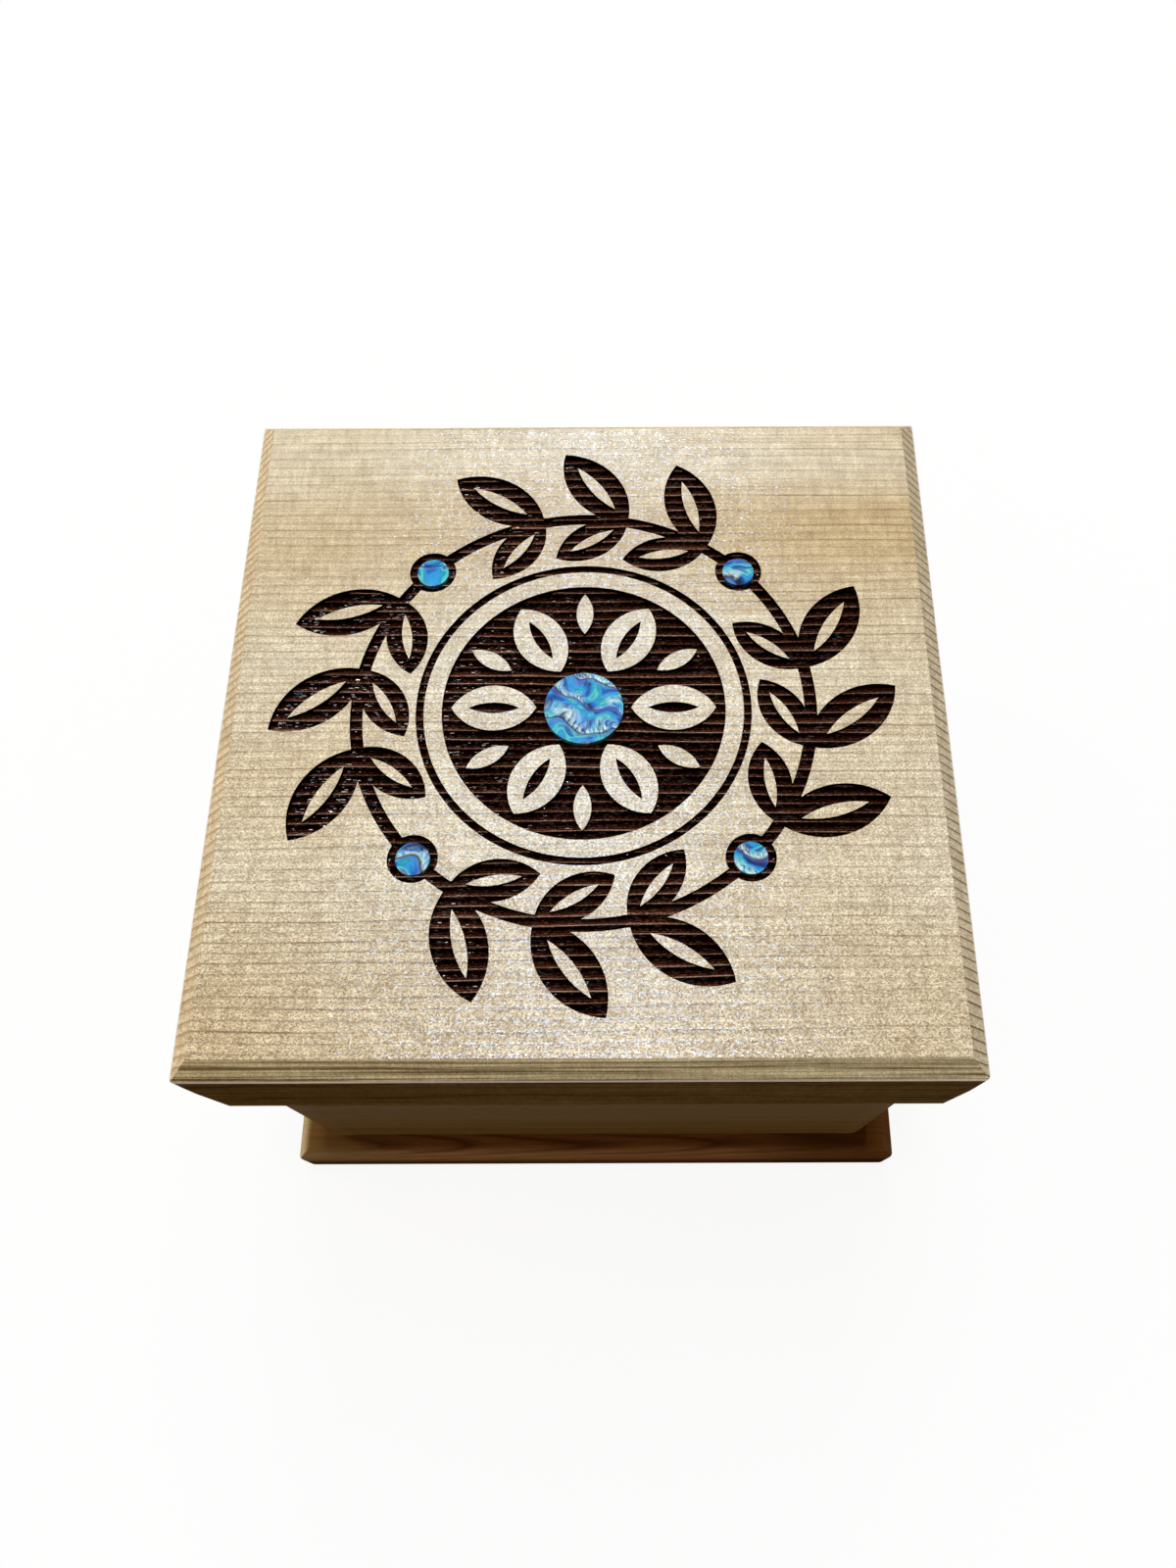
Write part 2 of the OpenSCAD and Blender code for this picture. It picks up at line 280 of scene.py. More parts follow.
# Sways of the ring planes: turns per mm along x, y and z, phase in radians, height in mm
SWAYS = [
    ((0.0052, 0.0120, 0.0), 0.3, 0.45),
    ((0.0, 0.0385, 0.004), 0.9, 0.30),
    ((0.0270, -0.0530, 0.011), 2.0, 0.10),
]
# Sizes along x, y and z in mm: ripple and breaks of the ring lines, clouds of tone, rays across the
# rings, fibres, and cut fibre ends, which are really about 0.1 mm and are drawn wider to show
RIPPLE_SIZE = (6.25, 2.0, 6.25)
BREAK_SIZE = (7.143, 0.9091, 7.143)
CLOUD_SIZE = (50.0, 28.57, 33.33)
RAY_SIZE = (1.0526, 6.25, 3.3333)
FIBRE_SIZE = (55.56, 0.45455, 0.5)
GRAIN_SIZE = (0.27778, 0.20833, 0.27778)
# Length in mm of one tone along a ring, and the step in the noise from one ring to the next
TONE_LENGTH = 5.0
TONE_STEP = 3.7
# Through one ring: darkness of a line cut along the grain, and cut across it, and lacquer that stands
THIN_LINE = [(0.0, 0.0), (0.6, 0.04), (0.8, 0.25), (0.87, 1.0), (0.96, 0.9), (1.0, 0.0)]
WIDE_LINE = [(0.0, 0.0), (0.4, 0.10), (0.76, 0.6), (0.92, 1.0), (1.0, 0.0)]
LACQUER_ROW = [(0.0, 1.0), (0.2, 0.5), (0.55, 0.4), (0.8, 0.9), (1.0, 1.0)]
# Darker years from the front edge of the board to the back
DARK_YEARS = [(0.0, 0.45), (0.12, 0.3), (0.26, 0.0), (0.64, 0.0), (0.77, 0.8), (0.84, 0.7), (0.93, 0.0)]
# Lacquer on one cut fibre end, by chance, and how far each leans at most
GRAIN_LACQUER = [(0.0, 0.1), (0.5, 0.2), (0.72, 1.0)]
GRAIN_LEAN = 0.08


def leaning(tree, cells, most):
    """Normal that leans its own way in each cell: the surface's own + 2 * most * (cell's colour - 0.5)."""
    lean = add(tree, "VectorMath", {0: cells, 1: (0.5, 0.5, 0.5)}, operation="SUBTRACT")
    lean = add(tree, "VectorMath", {0: lean, "Scale": 2 * most}, operation="SCALE")
    lean = add(tree, "VectorMath", {0: lean, 1: add(tree, "NewGeometry", out="Normal")}, operation="ADD")
    return add(tree, "VectorMath", {0: lean}, operation="NORMALIZE")


# Yellow cedar under satin lacquer: pale cream crossed by thin brown ring lines, with the wood's fine
# grain broken into pale and dark dots. The depth into the rings is y + lean * z plus their sways.
lid_finish, tree, mm = new_finish("satin_yellow_cedar")
x, y, z = (add(tree, "SeparateXYZ", {0: mm}, out=axis) for axis in range(3))
depth = add(tree, "Math", {0: z, 1: LID_LEAN, 2: y}, operation="MULTIPLY_ADD")
for turns, phase, height in SWAYS:
    angle = add(tree, "VectorMath", {0: mm, 1: tuple(2 * np.pi * t for t in turns)}, out="Value",
                operation="DOT_PRODUCT")
    angle = add(tree, "Math", {0: angle, 1: phase}, operation="ADD")
    wave = add(tree, "Math", {0: angle}, operation="SINE")
    depth = add(tree, "Math", {0: wave, 1: height, 2: depth}, operation="MULTIPLY_ADD")
ripple = add(tree, "VectorMath", {0: mm, 1: RIPPLE_SIZE}, operation="DIVIDE")
ripple = add(tree, "TexNoise", {"Vector": ripple, "Scale": 1.0, "Detail": 2.0})
rippled = add(tree, "Math", {0: ripple, 1: RIPPLE_RISE, 2: depth}, operation="MULTIPLY_ADD")
turn = add(tree, "Math", {0: rippled, 1: LID_RING}, operation="DIVIDE")
ring = add(tree, "Math", {0: turn}, operation="FRACT")
number = add(tree, "Math", {0: turn}, operation="FLOOR")
chance = add(tree, "TexWhiteNoise", {"W": number}, noise_dimensions="1D")
# Which surface it is: below the top face, an end, the right half, a long cut face, a side, a long chamfer
reach_x = add(tree, "Math", {0: x}, operation="ABSOLUTE")
reach_y = add(tree, "Math", {0: y}, operation="ABSOLUTE")
below = add(tree, "MapRange", {0: z, 1: LID_TOP - TOP_BORDER[0], 2: LID_TOP - TOP_BORDER[1], 3: 1.0, 4: 0.0})
ends = add(tree, "MapRange", {0: reach_x, 1: LID_FIELD - END_BORDER[0], 2: LID_FIELD + END_BORDER[1]})
mitred = add(tree, "Math", {0: reach_x, 1: reach_y}, operation="GREATER_THAN")
ends = add(tree, "Math", {0: ends, 1: mitred}, operation="MULTIPLY")
right = add(tree, "Math", {0: x, 1: 0.0}, operation="GREATER_THAN")
sawn = add(tree, "Math", {0: below, 1: ends}, operation="SUBTRACT", use_clamp=True)
side = add(tree, "MapRange", {0: z, 1: LID_TOP - LID_CHAMFER - SIDE_BORDER, 2: LID_TOP - LID_CHAMFER,
                              3: 1.0, 4: 0.0})
bevel = add(tree, "Math", {0: sawn, 1: side}, operation="SUBTRACT", use_clamp=True)
# Along the grain a ring ends in a thin dark line; where the left end is cut across, in a soft brown band
thin = add(tree, "ValToRGB", {0: ring}, stops=THIN_LINE)
wide = add(tree, "ValToRGB", {0: ring}, stops=WIDE_LINE)
cut_end = add(tree, "Mix", {0: right, 2: wide, 3: thin}, data_type="FLOAT")
late = add(tree, "Mix", {0: ends, 2: thin, 3: cut_end}, data_type="FLOAT")
# Lines differ in strength, break along their length, and are boldest at the front left and back right
breaks = add(tree, "VectorMath", {0: mm, 1: BREAK_SIZE}, operation="DIVIDE")
breaks = add(tree, "TexNoise", {"Vector": breaks, "Scale": 1.0, "Detail": 3.0})
breaks = add(tree, "MapRange", {0: breaks, 1: 0.35, 2: 0.6, 3: 0.45, 4: 1.0})
soft = add(tree, "MapRange", {0: below, 3: 1.0, 4: 0.75})
frontward = add(tree, "MapRange", {0: y, 1: -LID_FIELD, 2: LID_FIELD, 3: 1.0, 4: 0.7})
corner = add(tree, "Math", {0: x, 1: y}, operation="MULTIPLY")
aslant = add(tree, "MapRange", {0: corner, 1: -LID_FIELD ** 2, 2: LID_FIELD ** 2, 3: 0.85, 4: 1.5})
bold = add(tree, "Math", {0: chance, 1: chance}, operation="MULTIPLY")
bold = add(tree, "Math", {0: bold, 1: 0.45, 2: 0.3}, operation="MULTIPLY_ADD")
for share in (breaks, soft, frontward, aslant):
    bold = add(tree, "Math", {0: bold, 1: share}, operation="MULTIPLY")
bold_end = add(tree, "MapRange", {0: right, 3: 0.58, 4: 0.95})
bold = add(tree, "Mix", {0: ends, 2: bold, 3: bold_end}, data_type="FLOAT")
line = add(tree, "Math", {0: late, 1: bold}, operation="MULTIPLY")
cloud = add(tree, "VectorMath", {0: mm, 1: CLOUD_SIZE}, operation="DIVIDE")
cloud = add(tree, "TexNoise", {"Vector": cloud, "Scale": 1.0, "Detail": 2.0})
wood = add(tree, "ValToRGB", {0: cloud}, stops=[(0.35, LID_CREAM), (0.68, LID_TAN)])
# Two groups of darker years cross the board, darkest at the front left and the back right
years = add(tree, "MapRange", {0: depth, 1: LID_LEAN * LID_TOP - LID_FIELD,
                               2: LID_LEAN * LID_TOP + LID_FIELD})
years = add(tree, "ValToRGB", {0: years}, stops=DARK_YEARS)
aslant = add(tree, "MapRange", {0: corner, 1: -LID_FIELD ** 2, 2: LID_FIELD ** 2, 3: 0.5, 4: 1.7})
years = add(tree, "Math", {0: years, 1: aslant}, operation="MULTIPLY", use_clamp=True)
wood = add(tree, "Mix", {0: years, 6: wood, 7: linear(LID_BAND)}, out=2, data_type="RGBA")
# End grain on the left and right is yellower, and a little greyer at the right as painted shade
end_tone = add(tree, "Mix", {0: right, 6: linear(LID_END), 7: linear(LID_END_SHADE)}, out=2, data_type="RGBA")
end_share = add(tree, "Math", {0: ends, 1: 0.8}, operation="MULTIPLY")
wood = add(tree, "Mix", {0: end_share, 6: wood, 7: end_tone}, out=2, data_type="RGBA")
# Each ring changes tone along its length, rays cross the rings, fine fibres lie along them, and cut
# fibre ends are pale or dark grains, fewer towards the back
tones = add(tree, "CombineXYZ", {0: add(tree, "Math", {0: x, 1: TONE_LENGTH}, operation="DIVIDE"),
                                 1: add(tree, "Math", {0: number, 1: TONE_STEP}, operation="MULTIPLY")})
tones = add(tree, "TexNoise", {"Vector": tones, "Scale": 1.0, "Detail": 3.0})
rays = add(tree, "VectorMath", {0: mm, 1: RAY_SIZE}, operation="DIVIDE")
rays = add(tree, "TexNoise", {"Vector": rays, "Scale": 1.0, "Detail": 3.0, "Roughness": 0.6})
fibres = add(tree, "VectorMath", {0: mm, 1: FIBRE_SIZE}, operation="DIVIDE")
fibres = add(tree, "TexNoise", {"Vector": fibres, "Scale": 1.0, "Detail": 3.0, "Roughness": 0.6})
grains = add(tree, "VectorMath", {0: mm, 1: GRAIN_SIZE}, operation="DIVIDE")
grains = add(tree, "TexVoronoi", {"Vector": grains, "Scale": 1.0}, out="Color")
grain = add(tree, "SeparateColor", {0: grains}, out=2)
fibre_share = add(tree, "Math", {0: sawn, 1: 0.45, 2: 0.2}, operation="MULTIPLY_ADD")
fibre_share = add(tree, "Math", {0: bevel, 1: 0.35, 2: fibre_share}, operation="MULTIPLY_ADD")
grain_share = add(tree, "MapRange", {0: y, 1: -LID_FIELD, 2: LID_FIELD, 3: 0.9, 4: 0.28})
grain_share = add(tree, "Mix", {0: below, 2: grain_share, 3: 0.35}, data_type="FLOAT")
for patch, share, low, high in ((tones, 0.24, 0.23, 0.77), (rays, 0.26, 0.23, 0.77),
                                (fibres, fibre_share, 0.39, 0.61), (grain, grain_share, 0.0, 1.0)):
    tone = add(tree, "MapRange", {0: patch, 1: low, 2: high})
    gain = add(tree, "Mix", {0: tone, 6: GRAIN_DARK, 7: GRAIN_PALE}, out=2, data_type="RGBA")
    wood = add(tree, "Mix", {0: share, 6: wood, 7: gain}, out=2, data_type="RGBA", blend_type="MULTIPLY")
wood = add(tree, "Mix", {0: line, 6: wood, 7: linear(LID_LINE)}, out=2, data_type="RGBA")
# Sawn sides are darker as painted shade, and long chamfers drink more oil and are a little darker, with a
# painted highlight line on the arris between
for share, tint in ((side, LID_SIDE_SHADE), (bevel, LID_SAWN)):
    wood = add(tree, "Mix", {0: share, 6: wood, 7: linear(tint)}, out=2, data_type="RGBA",
               blend_type="MULTIPLY")
# Painted highlight line along the chamfer's lower edge
arris_highlight = add(tree, "Math", {0: z, 1: LID_TOP - LID_CHAMFER + HIGHLIGHT_UP, 2: HIGHLIGHT_HALF}, operation="COMPARE")
arris_highlight = add(tree, "Math", {0: arris_highlight, 1: 0.55}, operation="MULTIPLY")
wood = add(tree, "Mix", {0: arris_highlight, 6: wood, 7: linear(LID_ARRIS_HIGHLIGHT)}, out=2, data_type="RGBA")
# Charred where the laser has cut below the top face, well inside the chamfer
reach = add(tree, "Math", {0: reach_x, 1: reach_y}, operation="MAXIMUM")
char = add(tree, "Math", {0: reach, 1: LID_FIELD - ART_MARGIN}, operation="LESS_THAN")
engraved_depth = add(tree, "Math", {0: z, 1: LID_TOP - LID_CHAMFER}, operation="GREATER_THAN")
for share in (below, engraved_depth):
    char = add(tree, "Math", {0: char, 1: share}, operation="MULTIPLY")
wood = add(tree, "Mix", {0: char, 6: wood, 7: linear(LID_CHAR)}, out=2, data_type="RGBA")
# Lacquer stands on the top face, most of all in rows along the hard ring lines, and on some grains
lacquer = add(tree, "ValToRGB", {0: ring}, stops=LACQUER_ROW)
on_top = add(tree, "Math", {0: 1.0, 1: below}, operation="SUBTRACT")
bright = add(tree, "ValToRGB", {0: add(tree, "SeparateColor", {0: grains}, out=1)}, stops=GRAIN_LACQUER)
for share in (on_top, bright):
    lacquer = add(tree, "Math", {0: lacquer, 1: share}, operation="MULTIPLY")
# Each cut fibre end under the lacquer leans its own way, so single ones catch the lamp
facets = leaning(tree, grains, GRAIN_LEAN)
shader = add(tree, "BsdfPrincipled", {"Base Color": wood, "Roughness": 0.7, "Specular IOR Level": 0.0,
                                      "Coat Weight": lacquer, "Coat IOR": 2.5, "Coat Roughness": 0.12,
                                      "Coat Normal": facets})
add(tree, "OutputMaterial", {"Surface": shader})
put_finish(lid_finish, "lid")

# Burnt floor of the engraving
# Where the laser has eaten the top away, soft wood has burnt deeper than the hard rings, so the
# floor is a field of charred grooves and brown ridges that run along the board.
FLOOR_DARK = "#050100"
FLOOR_BROWN = "#33150b"
FLOOR_TAN = "#6a432f"
FLOOR_CREST = "#b09a88"
# In mm: depth of the cut and its level, lift of the grooves above that, thickness of the burnt skin, and
# height of the ridges that the colours span
ENGRAVE_DEPTH = 1.2
FLOOR_LEVEL = LID_TOP - ENGRAVE_DEPTH
FLOOR_LIFT = 0.03
FLOOR_SKIN = 0.2
RIDGE_HEIGHT = 0.36
# Shares of one ring: the groove's end, the run of the bank behind it, and the crest's place and half width
GROOVE_END = 0.26
BANK_RUN = 0.07
CREST_AT = 0.37
CREST_HALF = 0.07
# Fine lines in one ring, and heights in mm of the slope, its change by chance, its fine lines and the crest
FINE_LINES = 4.3
SLOPE_RISE = 0.09
CHANCE_RISE = 0.08
LINE_RISE = 0.08
CREST_RISE = 0.14
# The design's radii, lengths and widths in mm, most of them shares of its own radius
ART_R = 55.8
SHELL_R = 7.0
BERRY_R = 2.9
SHELL_RING = 1.4
SHELL_CLEAR = 0.1
STEM_R = 0.72 * ART_R
STEM_HALF = 0.02 * ART_R
THIN_RING_R = 0.52 * ART_R
THIN_RING_HALF = 0.0125 * ART_R
ROSETTE_R = 0.45 * ART_R
PETAL_START = SHELL_R + SHELL_RING
PETAL_TIP = 0.42 * ART_R
PETAL_W = 0.16 * ART_R
DROP_START = 0.27 * ART_R
DROP_W = 0.055 * ART_R
# The leaves of a pair: turn from the stem's outward line in degrees, length and width
LEAF_PAIR = [(48, 0.36 * ART_R, 0.17 * ART_R), (132, 0.28 * ART_R, 0.135 * ART_R)]
# Grid of the floor in mm: half width, and spacing along the ridges and across them
GRID_HALF = 57.0
GRID_ALONG = 1.3
GRID_ACROSS = 0.1
# Sizes along x, y and z in mm of scorched patches and glints, size of the crust's grit, and most that a
# glint leans
SCORCH_SIZE = (0.55556, 0.2, 2.0)
GLINT_SIZE = (0.625, 0.2, 0.33333)
CRUST_SIZE = 0.33333
GLINT_LEAN = 0.25


def in_oval(u, v, length, width):
    """Pointed oval from the origin along u: inside two crossing circles of radius (l^2 + w^2) / 4w."""
    arc = (length ** 2 + width ** 2) / (4 * width)
    return np.maximum(np.hypot(u - length / 2, v - arc + width / 2),
                      np.hypot(u - length / 2, v + arc - width / 2)) < arc


def in_leaf(u, v, length, width):
    """Pointed oval less the vein down its middle, from 0.2 of its length, 0.6 as long and 0.24 as wide."""
    return in_oval(u, v, length, width) & ~in_oval(u - 0.2 * length, v, 0.6 * length, 0.24 * width)


def turned(px, py, degrees, start):
    """Points in the axes of a piece that is moved by start along x and then turned about the middle."""
    a = np.radians(degrees)
    return np.cos(a) * px + np.sin(a) * py - start, np.cos(a) * py - np.sin(a) * px


def engraved(px, py):
    """True where the laser cuts: leaf pairs, stem ring, berry rings, thin ring and the rosette's ground."""
    r = np.hypot(px, py)
    cut = (np.abs(r - STEM_R) < STEM_HALF) | (np.abs(r - THIN_RING_R) < THIN_RING_HALF)
    # Three leaf pairs grow between one berry and the next, with one step of the sixteen left bare
    for i in range(16):
        if i % 4:
            u, v = turned(px, py, 45 + 22.5 * (i - 0.5), STEM_R)
            for lean, length, width in LEAF_PAIR:
                cut |= in_leaf(*turned(u, v, lean, 0), length, width)
    ground = r < ROSETTE_R
    for i in range(6):
        ground &= ~in_leaf(*turned(px, py, 60 * i, PETAL_START), PETAL_TIP - PETAL_START, PETAL_W)
        ground &= ~in_oval(*turned(px, py, 60 * i + 30, DROP_START), PETAL_TIP - DROP_START, DROP_W)
    cut |= ground
    clear = r > SHELL_R + SHELL_CLEAR
    for i in range(4):
        far = np.hypot(*turned(px, py, 45 + 90 * i, STEM_R))
        cut |= far < BERRY_R + SHELL_RING
        clear &= far > BERRY_R + SHELL_CLEAR
    return cut & clear


def ridge(px, py):
    """Height of the burnt floor: in each ring a groove, a thin crest behind it and a finely lined slope.

    The depth u into the rings is the lid's own, with half its ripple, and t runs from 0 to 1 through a ring.
    The slope climbs the bank at the groove's end and sinks as 1.2 - 0.7 t. The crest is a bell curve of t.
    Sines of x make the crest swell and the fine lines wander. Each ring has a chance number that varies
    them all, the fraction of a large multiple of a sine.
    """
    u = py + LID_LEAN * LID_TOP
    for turns, phase, height in SWAYS:
        u = u + height * np.sin(2 * np.pi * (turns[0] * px + turns[1] * py + turns[2] * LID_TOP) + phase)
    u = u + RIPPLE_RISE / 2
    number = np.floor(u / LID_RING)
    t = np.mod(u / LID_RING, 1.0)
    chance = np.mod(np.sin(number * 12.9898) * 43758.5453, 1.0)
    t = t + 0.1 * (chance - 0.5)
    swell = 0.5 + 0.5 * np.sin(px / (4 + 7 * chance) + 9 * chance)
    lines = 0.5 + 0.5 * np.sin(2 * np.pi * (FINE_LINES * t + chance) + 1.2 * np.sin(px / 3.3 + 5 * chance))
    slope = np.clip((t - GROOVE_END) / BANK_RUN, 0, 1) * (1.2 - 0.7 * t)
    crest = np.exp(-((t - CREST_AT) / CREST_HALF) ** 2)
    rise = SLOPE_RISE + CHANCE_RISE * chance + LINE_RISE * lines
    return slope * rise + CREST_RISE * crest * (0.4 + 0.6 * swell)


def mesh_piece(name, points, faces, material):
    """New object at the origin from an array of points in metres and a list of faces."""
    mesh = bpy.data.meshes.new(name)
    mesh.from_pydata(points.tolist(), [], faces)
    mesh.materials.append(material)
    piece = bpy.data.objects.new(name, mesh)
    bpy.context.scene.collection.objects.link(piece)
    return piece


# Laser-burnt cedar: black grooves, red-brown slopes and pale scraped crests, by height and by patches of
# scorch, with a few hard glints where the char is glassy
floor_finish, tree, mm = new_finish("laser_burnt_cedar")
z = add(tree, "SeparateXYZ", {0: mm}, out=2)
scorch = add(tree, "VectorMath", {0: mm, 1: SCORCH_SIZE}, operation="DIVIDE")
scorch = add(tree, "TexNoise", {"Vector": scorch, "Scale": 1.0, "Detail": 4.0, "Roughness": 0.65})
level = add(tree, "MapRange", {0: z, 1: FLOOR_LEVEL, 2: FLOOR_LEVEL + RIDGE_HEIGHT})
tone = add(tree, "Math", {0: scorch, 1: 1.1, 2: -0.55}, operation="MULTIPLY_ADD")
tone = add(tree, "Math", {0: level, 1: tone}, operation="ADD")
burnt = add(tree, "ValToRGB", {0: tone}, stops=[(0.35, FLOOR_DARK), (0.5, FLOOR_BROWN), (0.69, FLOOR_TAN),
                                                (1.0, FLOOR_CREST)])
crust = add(tree, "TexNoise", {"Vector": mm, "Scale": 1 / CRUST_SIZE, "Detail": 3.0})
pores = add(tree, "Bump", {"Height": crust, "Strength": 0.4, "Distance": 0.0001})
glint = add(tree, "VectorMath", {0: mm, 1: GLINT_SIZE}, operation="DIVIDE")
glint = add(tree, "TexVoronoi", {"Vector": glint, "Scale": 1.0}, out="Color")
facets = leaning(tree, glint, GLINT_LEAN)
shine = add(tree, "MapRange", {0: add(tree, "SeparateColor", {0: glint}), 1: 0.85, 2: 0.9})
shader = add(tree, "BsdfPrincipled", {"Base Color": burnt, "Roughness": 0.7, "Specular IOR Level": 0.0,
                                      "Normal": pores, "Coat Weight": shine, "Coat Roughness": 0.14,
                                      "Coat Normal": facets})
add(tree, "OutputMaterial", {"Surface": shader})

# A grid over the lid keeps each square that has an engraved corner, so its rim is sunk in the wood
columns = np.arange(-GRID_HALF, GRID_HALF + 0.01, GRID_ALONG)
rows = np.arange(-GRID_HALF, GRID_HALF + 0.01, GRID_ACROSS)
px, py = np.meshgrid(columns, rows)
pz = FLOOR_LEVEL + FLOOR_LIFT + ridge(px, py)
hit = engraved(px, py)
kept = hit[:-1, :-1] | hit[1:, :-1] | hit[:-1, 1:] | hit[1:, 1:]
index = np.arange(px.size).reshape(px.shape)
quads = np.stack([index[:-1, :-1], index[:-1, 1:], index[1:, 1:], index[1:, :-1]], -1)[kept]
used, quads = np.unique(quads, return_inverse=True)
points = np.stack([px, py, pz], -1).reshape(-1, 3)[used] / 1000
burnt_floor = mesh_piece("burnt_floor", points, quads.reshape(-1, 4).tolist(), floor_finish)
burnt_floor.data.shade_smooth()
thickness = burnt_floor.modifiers.new("thickness", "SOLIDIFY")
thickness.thickness = FLOOR_SKIN / 1000
thickness.offset = -1.0
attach(burnt_floor, "lid_with_shell")

# Shell inlays
# Discs of polished abalone let into the lid, one in the rosette and four berries on the wreath.
# Layers of pearl ground at a slant show as folds of blue, teal and violet, with white painted highlights.
SHELL_COLOURS = [(0.0, "#061c38"), (0.24, "#103e80"), (0.4, "#226fc4"), (0.5, "#36a0e8"), (0.59, "#1597b4"),
                 (0.7, "#5cd4d4"), (0.82, "#2274b8"), (1.0, "#2b4a90")]
SHELL_SEAM = "#081018"
# White of the painted highlight behind each seam
SHELL_HIGHLIGHT = "#dcfcf8"
SHELL_VIOLET = "#6a5cb8"
# Spacing of the folds in mm and the way they grow, and how far they bend over what distance
FOLD = 4.6
GROWTH = (0.3, 0.95, 0.0)
BEND_BY = 6.0
BEND_SIZE = 5.0
# Sizes in mm of clouds and streaks along x and y, and of the patches where a seam swells
PEARL_SIZE = (4.167, 2.5)
STREAK_SIZE = (0.5, 1.111)
PATCH_SIZE = 4.545

# Polished abalone: soft clouds of blue and teal, crossed every few millimetres by the edge of a layer.
# An edge is a dark curved seam that swells and tapers, with violet before it and a streaky white
# painted highlight behind it. The seam lies where the bent place along the growth is a whole number of
# folds.
shell_finish, tree, mm = new_finish("polished_abalone")
bent = add(tree, "TexNoise", {"Vector": mm, "Scale": 1 / BEND_SIZE, "Detail": 0.0}, out="Color")
bent = add(tree, "VectorMath", {0: bent, "Scale": BEND_BY}, operation="SCALE")
bent = add(tree, "VectorMath", {0: bent, 1: mm}, operation="ADD")
clouds = add(tree, "Mapping", {"Vector": bent, "Scale": (1 / PEARL_SIZE[0], 1 / PEARL_SIZE[1], 0.0)})
clouds = add(tree, "TexNoise", {"Vector": clouds, "Scale": 1.0, "Detail": 2.0})
streaks = add(tree, "Mapping", {"Vector": bent, "Scale": (1 / STREAK_SIZE[0], 1 / STREAK_SIZE[1], 0.0),
                                "Rotation": (0, 0, 0.5)})
streaks = add(tree, "TexNoise", {"Vector": streaks, "Scale": 1.0, "Detail": 3.0, "Roughness": 0.65})
patches = add(tree, "TexNoise", {"Vector": mm, "Scale": 1 / PATCH_SIZE, "Detail": 1.0})
fold = add(tree, "VectorMath", {0: bent, 1: tuple(g / FOLD for g in GROWTH)}, out="Value",
           operation="DOT_PRODUCT")
fold = add(tree, "Math", {0: fold}, operation="FRACT")
violet = add(tree, "MapRange", {0: fold, 1: 0.76, 2: 1.0, 3: 0.0, 4: 0.45}, interpolation_type="SMOOTHSTEP")
# Painted highlight behind each seam, broken into streaks and patches
painted_gleam = add(tree, "MapRange", {0: fold, 1: 0.05, 2: 0.62, 3: 1.0, 4: 0.0}, interpolation_type="SMOOTHSTEP")
streaky = add(tree, "MapRange", {0: streaks, 1: 0.4, 2: 0.56})
patchy = add(tree, "MapRange", {0: patches, 1: 0.38, 2: 0.5})
for share in (streaky, patchy):
    painted_gleam = add(tree, "Math", {0: painted_gleam, 1: share}, operation="MULTIPLY")
width = add(tree, "MapRange", {0: patches, 1: 0.42, 2: 0.6, 3: 0.04, 4: 0.2})
seam = add(tree, "MapRange", {0: fold, 1: 0.02, 2: width, 3: 0.95, 4: 0.0})
pearl = add(tree, "MapRange", {0: clouds, 1: 0.28, 2: 0.72})
pearl = add(tree, "ValToRGB", {0: pearl}, stops=SHELL_COLOURS)
for share, tone in ((violet, SHELL_VIOLET), (painted_gleam, SHELL_HIGHLIGHT), (seam, SHELL_SEAM)):
    pearl = add(tree, "Mix", {0: share, 6: pearl, 7: linear(tone)}, out=2, data_type="RGBA")
waves = add(tree, "Bump", {"Height": clouds, "Strength": 0.3, "Distance": 0.0004})
shader = add(tree, "BsdfPrincipled", {"Base Color": pearl, "Roughness": 0.35, "Specular IOR Level": 0.1,
                                      "Coat Weight": 0.12, "Coat Roughness": 0.06, "Normal": waves})
add(tree, "OutputMaterial", {"Surface": shader})
put_finish(shell_finish, "shell_rosette", *(f"shell_berry_{i}" for i in range(1, 5)))

# Studio
# A pale floor that the box stands on and that fades into a white backdrop, a lamp straight above,
# one behind and one low at the left, so the front stays in shade, and a long cool window overhead.
FLOOR_PALE = (0.95, 0.95, 0.95, 1)
WHITE = (1, 1, 1, 1)
# What the floor and the room give back to the object's shaded sides
FLOOR_BOUNCE = (0.10, 0.07, 0.045, 1)
ROOM_BOUNCE = (0.125, 0.088, 0.05, 1)
# Distances in mm at which the floor's white glow hides 0.9 of its paint, and all of it
FLOOR_FADE = (90.0, 240.0)
# Radii of the floor's rings in metres, and the points on each
FLOOR_RINGS = (0.3, 1.0, 4.0)
FLOOR_POINTS = 64

studio = bpy.context.scene
studio.view_settings.view_transform = "Standard"


def seen_directly(tree):
    """1 for a ray from the camera, a reflection or glass, and 0 for light on its way to the object."""
    rays = add(tree, "LightPath").node.outputs
    seen = rays["Is Camera Ray"]
    for kind in ("Is Glossy Ray", "Is Transmission Ray"):
        seen = add(tree, "Math", {0: seen, 1: rays[kind]}, operation="MAXIMUM")
    return seen


